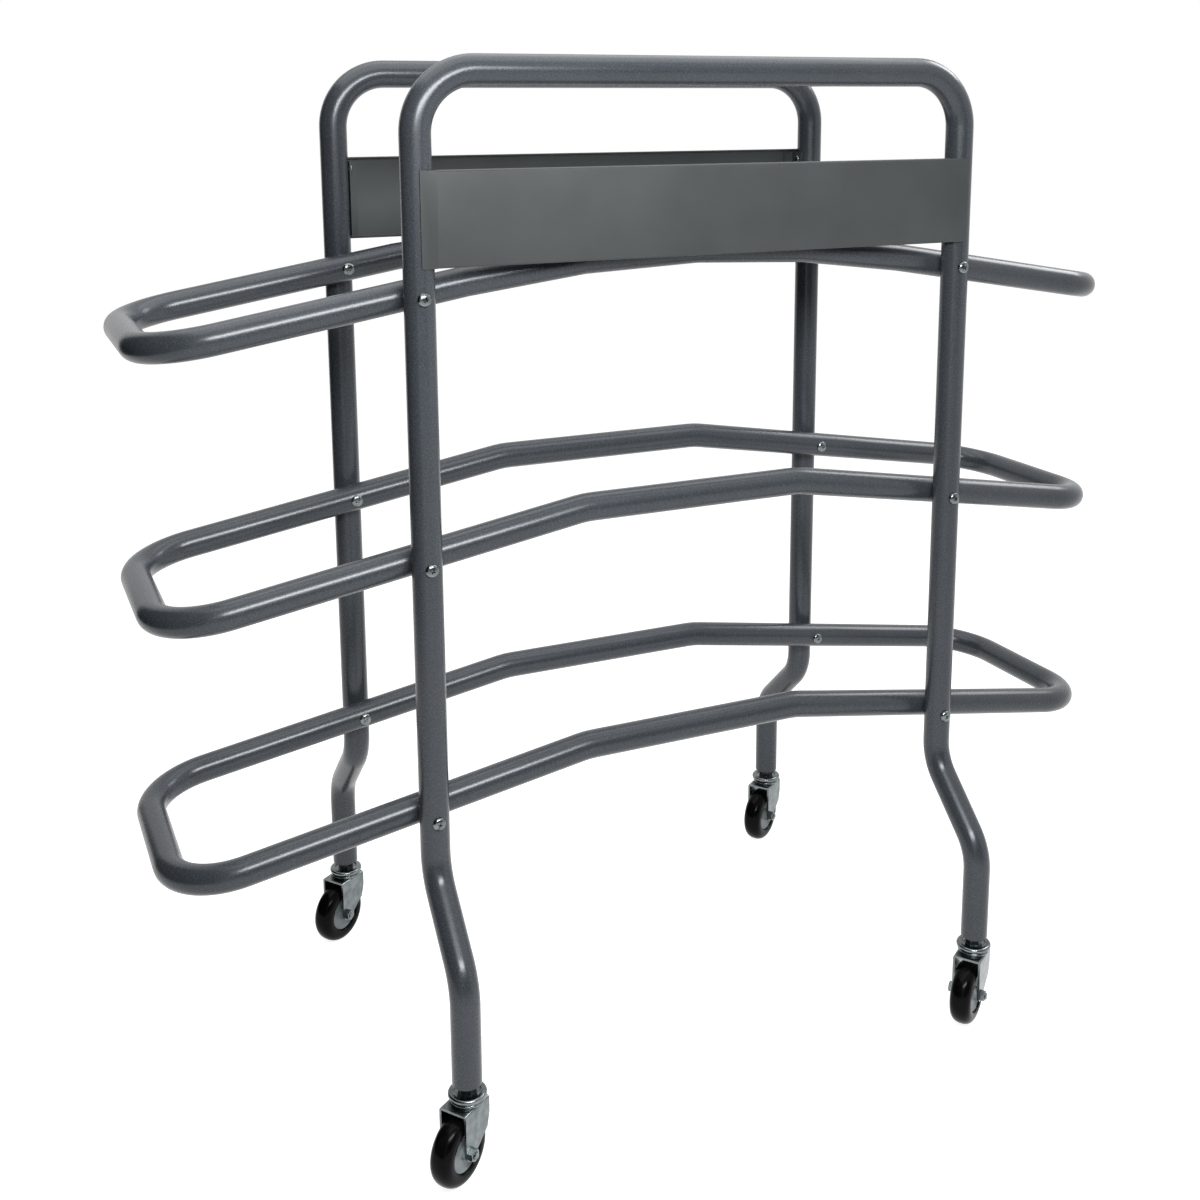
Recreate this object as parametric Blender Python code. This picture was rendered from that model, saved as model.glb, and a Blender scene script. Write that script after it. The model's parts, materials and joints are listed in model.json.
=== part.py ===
"""Rolling ball rack of bent steel tube: two arched-leg frames, three drooping rail loops, four swivel casters.

Metres, +Z up, floor at z = 0. X runs along the rack, -Y is the front. The datum is under the centre of
the whole rack's box. The casters are modelled as they trail when the rack was last pushed.
"""

import math

import bmesh
import bpy
from mathutils import Matrix, Vector

MM = 0.001

# Clearances
GAP = 0.3 * MM  # between pieces that touch
FIT = 0.5 * MM  # radial, between a bore and what turns or slides in it
HOLE_FIT = 0.4 * MM  # radial, between a drilled hole and its screw

# Tube stock, used for the frames and the rails alike
TUBE_R = 31.75 / 2 * MM
TUBE_WALL = 1.5 * MM
TUBE_SIDES = 16
BORE_SIDES = 8

# Frames
LEG_X = 325 * MM
LEG_Y = 164.5 * MM
LEG_END_Z = 104 * MM
TOP_CORNER_R = 62 * MM
JOG_OUT = 89.5 * MM
JOG_TOP_Z = 298 * MM
JOG_FOOT_Z = 214.5 * MM
JOG_R = 57 * MM
FOOT_Y = LEG_Y + JOG_OUT

# Rail loops: a level middle and two ends that slope down past the legs
RAIL_Y = LEG_Y - 2 * TUBE_R - GAP
LOOP_END_X = 586.5 * MM
LOOP_CORNER_R = 70 * MM
BEND_X = 135 * MM
BEND_R = 109 * MM
TOP_BEND_R = 1590 * MM
SLOPE = math.radians(9.55)
MIDDLE_TIER_Z = 669 * MM
TIER_PITCH = 278 * MM
TIERS = {
    "bottom": MIDDLE_TIER_Z - TIER_PITCH,
    "middle": MIDDLE_TIER_Z,
    "top": MIDDLE_TIER_Z + TIER_PITCH,
}

# Rail screws, where the sloping rails cross the legs, and the sleeve nuts they run into
SCREW_R = 3 * MM
SCREW_HEAD_R = 7 * MM
SCREW_HEAD_H = 4.2 * MM
SCREW_TIP_IN = 6 * MM  # tip of the screw to the rail's inner face
SCREW_Z = {tier: level - (LEG_X - BEND_X) * math.tan(SLOPE) for tier, level in TIERS.items()}
SLEEVE_BORE_R = SCREW_R + FIT
SLEEVE_R = SLEEVE_BORE_R + 1.1 * MM
SLEEVE_LENGTH = 20 * MM
SLEEVE_FLOOR = 2 * MM
SLEEVE_HEAD_R = 7 * MM
SLEEVE_HEAD_H = 3.6 * MM

# Sheet panels, over the top tier's screws and under the top bars
PANEL_T = 1.5 * MM
PANEL_H = 96 * MM
PANEL_ABOVE_SCREW = 23 * MM
PANEL_BOTTOM_Z = SCREW_Z["top"] + SCREW_HEAD_R + PANEL_ABOVE_SCREW
BAR_ABOVE_PANEL = 96.5 * MM
TOP_BAR_Z = PANEL_BOTTOM_Z + PANEL_H + BAR_ABOVE_PANEL
PANEL_HALF = LEG_X + 1.5 * MM
LIP_DEPTH = 9 * MM
FLANGE_DEPTH = 24 * MM
FLANGE_INSET = 4 * MM
FLANGE_H = PANEL_H - 2 * FLANGE_INSET
PANEL_SCREW_R = 2.4 * MM
PANEL_SCREW_HEAD_R = 4.6 * MM
PANEL_SCREW_HEAD_H = 3 * MM
PANEL_SCREW_LENGTH = 12 * MM
PANEL_SCREW_DROP = 13 * MM

# Casters
HEADING = math.radians(215.5)
WHEEL_R = 38.1 * MM
TRAIL = 18.5 * MM
TYRE_HALF = 13 * MM
TYRE_SQUARE = 2.3  # 2 is an elliptical tread, more is squarer
HUB_R = 21.5 * MM
HUB_HALF = 14 * MM
HUB_BOSS_R = 8 * MM
HUB_DISH = 3.6 * MM
AXLE_R = 4 * MM
AXLE_HEAD_AF = 12 * MM
AXLE_HEAD_H = 5 * MM
FORK_T = 2.5 * MM
FORK_HALF = HUB_HALF + FIT + FORK_T
FORK_TOP_Z = 85 * MM
FORK_FOOT_R = 8 * MM
FORK_REAR = 15 * MM
RACE_R = 19 * MM
RACE_TOP_Z = FORK_TOP_Z + 3.2 * MM
STEM_R = 5 * MM
STEM_TOP_Z = 138 * MM
RIVET_R = 7.5 * MM
CAP_R = 20.6 * MM
CAP_OPEN_R = 14 * MM
CAP_DISH = 2.4 * MM
CAP_H = 6.4 * MM
CAP_FLOOR_Z = RACE_TOP_Z + GAP
CAP_TOP_Z = CAP_FLOOR_Z + CAP_H
NUT_AF = 17 * MM
NUT_TOP_Z = LEG_END_Z - GAP
PLUG_R = 13.4 * MM
PLUG_LENGTH = 36 * MM

CORNERS = {
    "front_left": (-1, -1),
    "front_right": (1, -1),
    "rear_left": (-1, 1),
    "rear_right": (1, 1),
}


def clear_scene():
    for obj in list(bpy.data.objects):
        bpy.data.objects.remove(obj, do_unlink=True)


def finish(name, color, roughness, metallic):
    """A Principled material; the colour is linear."""
    made = bpy.data.materials.new(name)
    made.use_nodes = True
    shader = made.node_tree.nodes["Principled BSDF"]
    shader.inputs["Base Color"].default_value = (*color, 1)
    shader.inputs["Roughness"].default_value = roughness
    shader.inputs["Metallic"].default_value = metallic
    return made


def mesh_from(bm, name, smooth=True):
    """Turns a bmesh into a mesh, with round walls shaded smooth and edges over 35 degrees kept sharp."""
    mesh = bpy.data.meshes.new(name)
    bm.to_mesh(mesh)
    bm.free()
    if smooth:
        mesh.shade_smooth()
        mesh.set_sharp_from_angle(angle=math.radians(35))
    return mesh


def place(name, mesh, material, parent, location=(0, 0, 0), rotation=(0, 0, 0)):
    obj = bpy.data.objects.new(name, mesh)
    bpy.context.scene.collection.objects.link(obj)
    obj.parent = parent
    obj.location = location
    obj.rotation_euler = rotation
    if not mesh.materials:
        mesh.materials.append(material)
    return obj


def empty(name, parent, location=(0, 0, 0), rotation=(0, 0, 0)):
    obj = bpy.data.objects.new(name, None)
    bpy.context.scene.collection.objects.link(obj)
    obj.empty_display_size = 0.05
    obj.parent = parent
    obj.location = location
    obj.rotation_euler = rotation
    return obj


def rounded(corners, radii, steps, closed=False):
    """Stations (point, direction) along a line whose corners are bent to the given radii."""
    stations = []
    count = len(corners)
    for i, corner in enumerate(corners):
        ahead = (corners[(i + 1) % count] - corner).normalized()
        behind = (corners[i - 1] - corner).normalized()
        if not radii[i]:
            at_end = i == count - 1 and not closed
            stations.append((corner, -behind if at_end else ahead))
            continue
        turn = math.pi - behind.angle(ahead)
        start = corner + behind * radii[i] * math.tan(turn / 2)
        centre = corner + (behind + ahead).normalized() * radii[i] / math.cos(turn / 2)
        axis = ahead.cross(behind).normalized()
        for step in range(steps[i] + 1):
            bend = Matrix.Rotation(turn * step / steps[i], 3, axis)
            stations.append((centre + bend @ (start - centre), bend @ -behind))
    return stations


def sweep(bm, stations, reference, radius, sides, closed=False, inward=False):
    """A round wall along the stations. The reference direction is never along the line."""
    rings = []
    for point, direction in stations:
        side = direction.cross(reference).normalized()
        up = direction.cross(side)
        frame = Matrix((side, up, direction)).transposed().to_4x4()
        frame.translation = point
        rings.append(bmesh.ops.create_circle(bm, segments=sides, radius=radius, matrix=frame)["verts"])
    following = rings[1:] + [rings[0]] if closed else rings[1:]
    for near, far in zip(rings, following):
        for k in range(sides):
            n = (k + 1) % sides
            corners = (near[k], near[n], far[n], far[k])
            bm.faces.new(corners[::-1] if inward else corners)
    return rings


def ring_edges(ring):
    found = set()
    for vert in ring:
        found |= {edge for edge in vert.link_edges if edge.other_vert(vert) in ring}
    return list(found)


def equal_area_radius(radius, sides):
    """The corner radius of a polygon that encloses the same area as a circle."""
    return radius * math.sqrt(2 * math.pi / (sides * math.sin(2 * math.pi / sides)))


def hollow_tube(stations, reference, closed=False):
    bm = bmesh.new()
    inner = equal_area_radius(TUBE_R - TUBE_WALL, BORE_SIDES)
    walls = [
        sweep(bm, stations, reference, TUBE_R, TUBE_SIDES, closed),
        sweep(bm, stations, reference, inner, BORE_SIDES, closed, inward=True),
    ]
    if not closed:
        for end in (0, -1):
            edges = ring_edges(walls[0][end]) + ring_edges(walls[1][end])
            bmesh.ops.bridge_loops(bm, edges=edges)
        bmesh.ops.recalc_face_normals(bm, faces=bm.faces)
    return bm


def turned(profile, sides, closed=True):
    """A solid of revolution about Z from (radius, height) points. An open profile ends on the axis."""
    bm = bmesh.new()
    verts = [bm.verts.new((radius, 0, height)) for radius, height in profile]
    pairs = list(zip(verts, verts[1:]))
    if closed:
        pairs.append((verts[-1], verts[0]))
    edges = [bm.edges.new(pair) for pair in pairs]
    bmesh.ops.spin(
        bm,
        geom=verts + edges,
        cent=(0, 0, 0),
        axis=(0, 0, 1),
        angle=2 * math.pi,
        steps=sides,
    )
    bmesh.ops.remove_doubles(bm, verts=bm.verts, dist=1e-6)
    bmesh.ops.recalc_face_normals(bm, faces=bm.faces)
    return bm


def block(low, high):
    """A box from its lowest to its highest corner."""
    size = [b - a for a, b in zip(low, high)]
    centre = [(a + b) / 2 for a, b in zip(low, high)]
    bm = bmesh.new()
    bmesh.ops.create_cube(bm, matrix=Matrix.Translation(centre) @ Matrix.Diagonal((*size, 1)))
    return bm


def prism(across_flats, low, high, sides=6):
    """A nut or bolt head about Z."""
    bm = bmesh.new()
    corner = across_flats / 2 / math.cos(math.pi / sides)
    bmesh.ops.create_cone(
        bm,
        cap_ends=True,
        segments=sides,
        radius1=corner,
        radius2=corner,
        depth=high - low,
        matrix=Matrix.Translation((0, 0, (low + high) / 2)),
    )
    return bm


def moved(bm, matrix):
    bmesh.ops.transform(bm, matrix=matrix, verts=bm.verts)
    return bm


def merged(pieces):
    """Several shapes that don't touch, in one bmesh, to cut with in one go."""
    whole = bmesh.new()
    for piece in pieces:
        mesh = bpy.data.meshes.new("piece")
        piece.to_mesh(mesh)
        piece.free()
        whole.from_mesh(mesh)
        bpy.data.meshes.remove(mesh)
    return whole


def combined(base, changes):
    """The base with each (operation, shape) applied in turn, as a new bmesh."""
    meshes = []

    def helper(name, bm):
        mesh = bpy.data.meshes.new(name)
        bm.to_mesh(mesh)
        bm.free()
        obj = bpy.data.objects.new(name, mesh)
        bpy.context.scene.collection.objects.link(obj)
        obj.hide_render = True
        obj.display_type = "WIRE"
        meshes.append(mesh)
        return obj

    body = helper("body", base)
    helpers = [body]
    for operation, shape in changes:
        other = helper(operation.lower(), shape)
        helpers.append(other)
        change = body.modifiers.new(operation, "BOOLEAN")
        change.operation = operation
        change.object = other
        change.solver = "EXACT"
    graph = bpy.context.evaluated_depsgraph_get()
    graph.update()
    result = bmesh.new()
    result.from_object(body, graph)
    for obj in helpers:
        bpy.data.objects.remove(obj, do_unlink=True)
    for mesh in meshes:
        bpy.data.meshes.remove(mesh)
    return result


def along_y(position, outward):
    """Puts a shape made about Z at a position, with its +Z turned to +Y or -Y."""
    return Matrix.Translation(position) @ Matrix.Rotation(-outward * math.pi / 2, 4, "X")


def along_x(position, outward):
    return Matrix.Translation(position) @ Matrix.Rotation(outward * math.pi / 2, 4, "Y")


def frame_mesh(outward):
    """A bent inverted U. Each leg steps outward below the bottom tier, and is drilled for its screws."""
    leg_y = outward * LEG_Y
    foot_y = outward * FOOT_Y
    half = [
        Vector((LEG_X, foot_y, LEG_END_Z)),
        Vector((LEG_X, foot_y, JOG_FOOT_Z)),
        Vector((LEG_X, leg_y, JOG_TOP_Z)),
        Vector((LEG_X, leg_y, TOP_BAR_Z)),
    ]
    mirrored = [Vector((-p.x, p.y, p.z)) for p in reversed(half)]
    radii = [0, JOG_R, JOG_R, TOP_CORNER_R]
    steps = [0, 3, 3, 6]
    stations = rounded(half + mirrored, radii + radii[::-1], steps + steps[::-1])
    bores = []
    for side in (-1, 1):
        for tier in TIERS:
            at = Vector((side * LEG_X, leg_y, SCREW_Z[tier]))
            hole = prism(2 * (SCREW_R + HOLE_FIT), -2 * TUBE_R, 2 * TUBE_R, sides=10)
            bores.append(moved(hole, along_y(at, outward)))
        at = Vector((side * (LEG_X - TUBE_R), leg_y, PANEL_BOTTOM_Z + PANEL_H - PANEL_SCREW_DROP))
        pilot = prism(2 * (PANEL_SCREW_R + HOLE_FIT), -5 * MM, 5 * MM, sides=10)
        bores.append(moved(pilot, along_x(at, side)))
    tube = hollow_tube(stations, Vector((0, 1, 0)))
    return mesh_from(combined(tube, [("DIFFERENCE", merged(bores))]), "frame")


def loop_mesh(tier):
    """A closed rail loop: level in the middle, sloping down to a rounded end on each side."""
    level = TIERS[tier]
    low = level - (LOOP_END_X - BEND_X) * math.tan(SLOPE)
    rail = [
        Vector((-LOOP_END_X, -RAIL_Y, low)),
        Vector((-BEND_X, -RAIL_Y, level)),
        Vector((BEND_X, -RAIL_Y, level)),
        Vector((LOOP_END_X, -RAIL_Y, low)),
    ]
    back = [Vector((p.x, -p.y, p.z)) for p in reversed(rail)]
    bend = TOP_BEND_R if tier == "top" else BEND_R
    radii = [LOOP_CORNER_R, bend, bend, LOOP_CORNER_R] * 2
    bend_steps = 3 if tier == "top" else 2
    steps = [5, bend_steps, bend_steps, 5] * 2
    stations = rounded(rail + back, radii, steps, closed=True)
    bores = []
    for side, outward in CORNERS.values():
        at = Vector((side * LEG_X, outward * RAIL_Y, SCREW_Z[tier]))
        wide = SLEEVE_R + HOLE_FIT
        narrow = SCREW_R + HOLE_FIT
        reach = 2 * TUBE_R
        profile = [(0, -reach), (wide, -reach), (wide, 0), (narrow, 0), (narrow, reach), (0, reach)]
        bores.append(moved(turned(profile, 10, closed=False), along_y(at, outward)))
    tube = hollow_tube(stations, Vector((0, 0, 1)), closed=True)
    return mesh_from(combined(tube, [("DIFFERENCE", merged(bores))]), f"{tier}_loop")


def panel_mesh(outward):
    """A sheet panel with folded lips, and an end flange that screws to each leg's inner side."""
    inner = LEG_Y + TUBE_R + GAP
    top = PANEL_BOTTOM_Z + PANEL_H
    flange_x = LEG_X - TUBE_R - GAP
    middle = (PANEL_BOTTOM_Z + top) / 2

    def piece(low, high):
        y = sorted((outward * low[1], outward * high[1]))
        return block((low[0], y[0], low[2]), (high[0], y[1], high[2]))

    web = piece((-PANEL_HALF, inner, PANEL_BOTTOM_Z), (PANEL_HALF, inner + PANEL_T, top))
    root = inner + PANEL_T / 2
    changes = []
    for low in (PANEL_BOTTOM_Z, top - PANEL_T):
        lip = piece((-flange_x, inner - LIP_DEPTH, low), (flange_x, root, low + PANEL_T))
        changes.append(("UNION", lip))
    holes = []
    for side in (-1, 1):
        x = sorted((side * flange_x, side * (flange_x - PANEL_T)))
        low = (x[0], inner - FLANGE_DEPTH, middle - FLANGE_H / 2)
        changes.append(("UNION", piece(low, (x[1], root, middle + FLANGE_H / 2))))
        at = Vector((side * flange_x, outward * LEG_Y, top - PANEL_SCREW_DROP))
        hole = prism(2 * (PANEL_SCREW_R + HOLE_FIT), -5 * MM, 5 * MM, sides=10)
        holes.append(moved(hole, along_x(at, side)))
    changes.append(("DIFFERENCE", merged(holes)))
    return mesh_from(combined(web, changes), "panel", smooth=False)


def domed_head(radius, height, shank):
    """Profile of a domed head from its crown out to its rim and in to the shank, underside at 0."""
    return [
        (0, height),
        (radius * 0.55, height * 0.86),
        (radius * 0.9, height * 0.5),
        (radius, height * 0.1),
        (radius, 0),
        (shank, 0),
    ]


def rail_screw_mesh():
    length = 2 * TUBE_R + GAP + 2 * TUBE_R + 2 * GAP - SCREW_TIP_IN
    tip = [(SCREW_R, -length + SCREW_R / 2), (SCREW_R * 0.6, -length), (0, -length)]
    head = domed_head(SCREW_HEAD_R, SCREW_HEAD_H, SCREW_R)
    return mesh_from(turned(head + tip, 10, closed=False), "rail_screw")


def sleeve_nut_mesh():
    blind = -SLEEVE_FLOOR + GAP
    sleeve = [
        (SLEEVE_R, -SLEEVE_LENGTH),
        (SLEEVE_BORE_R, -SLEEVE_LENGTH),
        (SLEEVE_BORE_R, blind),
        (0, blind),
    ]
    head = domed_head(SLEEVE_HEAD_R, SLEEVE_HEAD_H, SLEEVE_R)
    return mesh_from(turned(head + sleeve, 10, closed=False), "sleeve_nut")


def panel_screw_mesh():
    tip = [(PANEL_SCREW_R, -PANEL_SCREW_LENGTH), (0, -PANEL_SCREW_LENGTH)]
    head = domed_head(PANEL_SCREW_HEAD_R, PANEL_SCREW_HEAD_H, PANEL_SCREW_R)
    return mesh_from(turned(head + tip, 8, closed=False), "panel_screw")


def fork_outline():
    """The side plate's outline, (trail, height) points, from the top front corner round to the top rear."""
    front = TRAIL + FORK_FOOT_R
    points = [(front, FORK_TOP_Z)]
    for k in range(6):
        angle = math.radians(-36 * k * 0.78)
        points.append((TRAIL + FORK_FOOT_R * math.cos(angle), WHEEL_R + FORK_FOOT_R * math.sin(angle)))
    points.append((-0.72 * FORK_REAR, 0.6 * FORK_TOP_Z))
    points.append((-FORK_REAR, 0.78 * FORK_TOP_Z))
    points.append((-FORK_REAR, FORK_TOP_Z))
    return points


def fork_mesh():
    """A folded plate fork: top plate, two side plates, and the lower race raised on top."""
    bm = bmesh.new()
    face = bm.faces.new([bm.verts.new((x, -FORK_HALF, z)) for x, z in fork_outline()])
    grown = bmesh.ops.extrude_face_region(bm, geom=[face])["geom"]
    verts = [item for item in grown if isinstance(item, bmesh.types.BMVert)]
    bmesh.ops.translate(bm, verts=verts, vec=(0, 2 * FORK_HALF, 0))
    bmesh.ops.recalc_face_normals(bm, faces=bm.faces)
    under = FORK_TOP_Z - FORK_T
    gap_half = FORK_HALF - FORK_T
    race = turned(
        [
            (0, under + FORK_T / 2),
            (RACE_R - 1.6 * MM, under + FORK_T / 2),
            (RACE_R, FORK_TOP_Z + 0.4 * MM),
            (RACE_R, RACE_TOP_Z - 1.2 * MM),
            (RACE_R - 1.4 * MM, RACE_TOP_Z),
            (0, RACE_TOP_Z),
        ],
        16,
        closed=False,
    )
    changes = [
        ("DIFFERENCE", block((-2 * FORK_REAR, -gap_half, -WHEEL_R), (2 * WHEEL_R, gap_half, under))),
        ("UNION", race),
        ("DIFFERENCE", prism(2 * (STEM_R + FIT), 0.5 * FORK_TOP_Z, 1.5 * FORK_TOP_Z, sides=16)),
    ]
    axle_hole = prism(2 * (AXLE_R + HOLE_FIT), -2 * FORK_HALF, 2 * FORK_HALF, sides=12)
    changes.append(("DIFFERENCE", moved(axle_hole, along_y((TRAIL, 0, WHEEL_R), 1))))
    return mesh_from(combined(bm, changes), "fork")


def stem_mesh():
    """Threaded stem with its lock nut, the cap over the upper race, and the rivet head that holds the fork."""
    under = FORK_TOP_Z - FORK_T - GAP
    profile = [
        (0, under - 2.2 * MM),
        (RIVET_R * 0.8, under - 2.2 * MM),
        (RIVET_R, under),
        (STEM_R, under),
        (STEM_R, CAP_FLOOR_Z),
        (CAP_R - 3.2 * MM, CAP_FLOOR_Z),
        (CAP_R, CAP_FLOOR_Z + 1.8 * MM),
        (CAP_R, CAP_TOP_Z - 2 * MM),
        (CAP_R - 1 * MM, CAP_TOP_Z - 0.6 * MM),
        (CAP_R - 2.8 * MM, CAP_TOP_Z),
        (CAP_OPEN_R + 1 * MM, CAP_TOP_Z),
        (CAP_OPEN_R, CAP_TOP_Z - 1 * MM),
        (CAP_OPEN_R, CAP_TOP_Z - CAP_DISH),
        (STEM_R, CAP_TOP_Z - CAP_DISH),
        (STEM_R, STEM_TOP_Z),
        (0, STEM_TOP_Z),
    ]
    nut = prism(NUT_AF, (CAP_FLOOR_Z + CAP_TOP_Z - CAP_DISH) / 2, NUT_TOP_Z)
    return mesh_from(combined(turned(profile, 16, closed=False), [("UNION", nut)]), "stem")


def plug_mesh():
    bore = STEM_R + HOLE_FIT
    top = PLUG_LENGTH
    profile = [(bore, 0), (PLUG_R, 0), (PLUG_R, top - 3 * MM), (PLUG_R - 2 * MM, top), (bore, top)]
    return mesh_from(turned(profile, 12), "tube_plug")


def tyre_mesh():
    """The black tread ring. Its profile is turned about Z, which the wheel's placing lays level."""
    side = [(HUB_R + GAP, TYRE_HALF - 2.2 * MM)]
    widest = 0.7 * WHEEL_R
    crown = WHEEL_R - widest
    power = 2 / TYRE_SQUARE
    for k in range(6):
        angle = math.radians(90 - 15.5 * k)
        radius = widest + crown * math.cos(angle) ** power
        side.append((radius, TYRE_HALF * math.sin(angle) ** power))
    side.append((WHEEL_R, 0))
    other = [(radius, -height) for radius, height in reversed(side[:-1])]
    return mesh_from(turned(side + other, 24), "tyre")


def hub_mesh():
    bore = AXLE_R + FIT
    disc = HUB_HALF - HUB_DISH
    side = [(bore, HUB_HALF), (HUB_BOSS_R, HUB_HALF), (HUB_BOSS_R + 1 * MM, disc), (HUB_R, disc)]
    other = [(radius, -height) for radius, height in reversed(side)]
    return mesh_from(turned(side + other, 12), "hub")


def axle_mesh():
    """Axle bolt about Z with its head at +Z and its nut, run up against the fork, at -Z."""
    face = FORK_HALF + GAP
    end = face + AXLE_HEAD_H
    shaft = turned([(0, -end - 2 * MM), (AXLE_R, -end - 2 * MM), (AXLE_R, end - 1 * MM), (0, end - 1 * MM)], 12, False)
    head = prism(AXLE_HEAD_AF, face, end)
    nut = prism(AXLE_HEAD_AF, -end, -face)
    return mesh_from(combined(shaft, [("UNION", merged([head, nut]))]), "axle_bolt")


def build():
    clear_scene()
    paint = finish("gunmetal_powder_coat", (0.105, 0.112, 0.125), 0.38, 0.6)
    sheet = finish("grey_enamel_sheet", (0.085, 0.092, 0.095), 0.42, 0.4)
    zinc = finish("zinc_plate", (0.62, 0.63, 0.64), 0.28, 1.0)
    nylon = finish("black_nylon", (0.015, 0.015, 0.016), 0.5, 0.0)
    rubber = finish("black_tread", (0.012, 0.012, 0.013), 0.35, 0.0)
    core = finish("grey_hub_plastic", (0.34, 0.36, 0.38), 0.45, 0.0)

    datum = empty("rack_datum", None)
    for name, outward in (("front", -1), ("rear", 1)):
        place(f"{name}_frame", frame_mesh(outward), paint, datum)
        place(f"{name}_panel", panel_mesh(outward), sheet, datum)
    for tier in TIERS:
        place(f"{tier}_rail_loop", loop_mesh(tier), paint, datum)

    screw = rail_screw_mesh()
    sleeve = sleeve_nut_mesh()
    for tier in TIERS:
        for corner, (side, outward) in CORNERS.items():
            turn = (-outward * math.pi / 2, 0, 0)
            at = (side * LEG_X, outward * (LEG_Y + TUBE_R + GAP), SCREW_Z[tier])
            place(f"{tier}_screw_{corner}", screw, zinc, datum, at, turn)
            turn = (outward * math.pi / 2, 0, 0)
            at = (side * LEG_X, outward * (RAIL_Y - TUBE_R - GAP), SCREW_Z[tier])
            place(f"{tier}_sleeve_nut_{corner}", sleeve, zinc, datum, at, turn)

    panel_screw = panel_screw_mesh()
    head_x = LEG_X - TUBE_R - GAP - PANEL_T - GAP
    for name, (side, outward) in CORNERS.items():
        turn = (0, -side * math.pi / 2, 0)
        at = (side * head_x, outward * LEG_Y, PANEL_BOTTOM_Z + PANEL_H - PANEL_SCREW_DROP)
        place(f"panel_screw_{name}", panel_screw, zinc, datum, at, turn)

    stem, plug, fork = stem_mesh(), plug_mesh(), fork_mesh()
    tyre, hub, axle = tyre_mesh(), hub_mesh(), axle_mesh()
    for name, (side, outward) in CORNERS.items():
        foot = Vector((side * LEG_X, outward * FOOT_Y, 0))
        place(f"{name}_tube_plug", plug, nylon, datum, foot + Vector((0, 0, LEG_END_Z)))
        place(f"{name}_caster_stem", stem, zinc, datum, foot)
        swivel = empty(f"{name}_swivel", datum, foot, (0, 0, HEADING))
        place(f"{name}_caster_fork", fork, zinc, swivel)
        spindle = empty(f"{name}_spindle", swivel, (TRAIL, 0, WHEEL_R), (math.pi / 2, 0, 0))
        place(f"{name}_axle_bolt", axle, zinc, spindle)
        place(f"{name}_wheel_hub", hub, core, spindle)
        place(f"{name}_wheel_tyre", tyre, rubber, spindle)

    bpy.context.view_layer.update()
    corners = []
    for obj in bpy.data.objects:
        if obj.type == "MESH":
            corners += [obj.matrix_world @ vert.co for vert in obj.data.vertices]
    for axis in (0, 1):
        low = min(corner[axis] for corner in corners)
        high = max(corner[axis] for corner in corners)
        datum.location[axis] = -(low + high) / 2
    bpy.context.view_layer.update()
    print("datum moved by", tuple(round(value * 1000, 3) for value in datum.location), "mm")


build()
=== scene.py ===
# %% [markdown]
# # A rolling ball rack of bent tube
#
# The rack is three long rail loops, one above the other, carried between two inverted-U frames that stand
# on four swivel casters. Each rail loop is level in its middle and slopes down to both ends, so balls
# roll outwards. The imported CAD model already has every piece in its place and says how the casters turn.
# This lesson dresses it: each visible piece is rebuilt finer than the CAD's facets, in exactly the same
# place, and gets its finish.
#
# The CAD's box is noted first. The dressed rack is compared with it at the end.

# %% Load the rack's CAD model
import json
import math

import bmesh
import bpy
from mathutils import Matrix, Vector


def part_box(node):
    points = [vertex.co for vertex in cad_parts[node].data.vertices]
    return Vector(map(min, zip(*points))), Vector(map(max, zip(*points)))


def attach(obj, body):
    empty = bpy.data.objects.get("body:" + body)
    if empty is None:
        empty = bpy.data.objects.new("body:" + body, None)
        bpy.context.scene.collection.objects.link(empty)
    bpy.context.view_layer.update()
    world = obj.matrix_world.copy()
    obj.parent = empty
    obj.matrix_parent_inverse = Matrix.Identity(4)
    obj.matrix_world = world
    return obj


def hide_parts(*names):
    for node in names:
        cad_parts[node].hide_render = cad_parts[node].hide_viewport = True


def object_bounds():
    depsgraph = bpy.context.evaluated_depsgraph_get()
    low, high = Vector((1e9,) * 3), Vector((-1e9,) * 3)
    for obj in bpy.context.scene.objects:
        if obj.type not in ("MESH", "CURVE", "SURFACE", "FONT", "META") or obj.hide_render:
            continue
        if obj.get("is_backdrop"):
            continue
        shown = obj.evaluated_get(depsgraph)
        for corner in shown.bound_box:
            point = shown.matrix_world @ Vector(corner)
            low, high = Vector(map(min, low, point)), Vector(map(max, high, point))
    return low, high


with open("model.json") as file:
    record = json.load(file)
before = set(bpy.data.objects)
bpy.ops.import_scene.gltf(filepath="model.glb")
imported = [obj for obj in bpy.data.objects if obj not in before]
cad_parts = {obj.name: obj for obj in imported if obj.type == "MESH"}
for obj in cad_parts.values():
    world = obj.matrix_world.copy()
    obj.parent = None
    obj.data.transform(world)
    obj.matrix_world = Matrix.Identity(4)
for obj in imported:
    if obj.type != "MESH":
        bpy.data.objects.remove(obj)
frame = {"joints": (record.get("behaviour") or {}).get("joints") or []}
cad_box = [[float(value) for value in corner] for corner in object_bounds()]
MM = 0.001
print("CAD box, mm:", [[round(value / MM, 1) for value in corner] for corner in cad_box])

# %% [markdown]
# ## Where everything is
#
# The joints carry the casters' places: a swivel's position is on a leg's axis, and an axle's position is
# its wheel's centre. The frames' and loops' own boxes give the middle of the rack, half way between front
# and rear. Everything else is the workshop drawing's sizes, in metres.

# %% Sizes from the drawing
joints = {joint["name"]: joint for joint in frame["joints"]}
CORNERS = {
    "front_left": (-1, -1),
    "front_right": (1, -1),
    "rear_left": (-1, 1),
    "rear_right": (1, 1),
}
loop_low, loop_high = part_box("middle_rail_loop")
MID_Y = (loop_low[1] + loop_high[1]) / 2

TUBE_R = 31.75 / 2 * MM
TUBE_WALL = 1.5 * MM
GAP = 0.3 * MM
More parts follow.
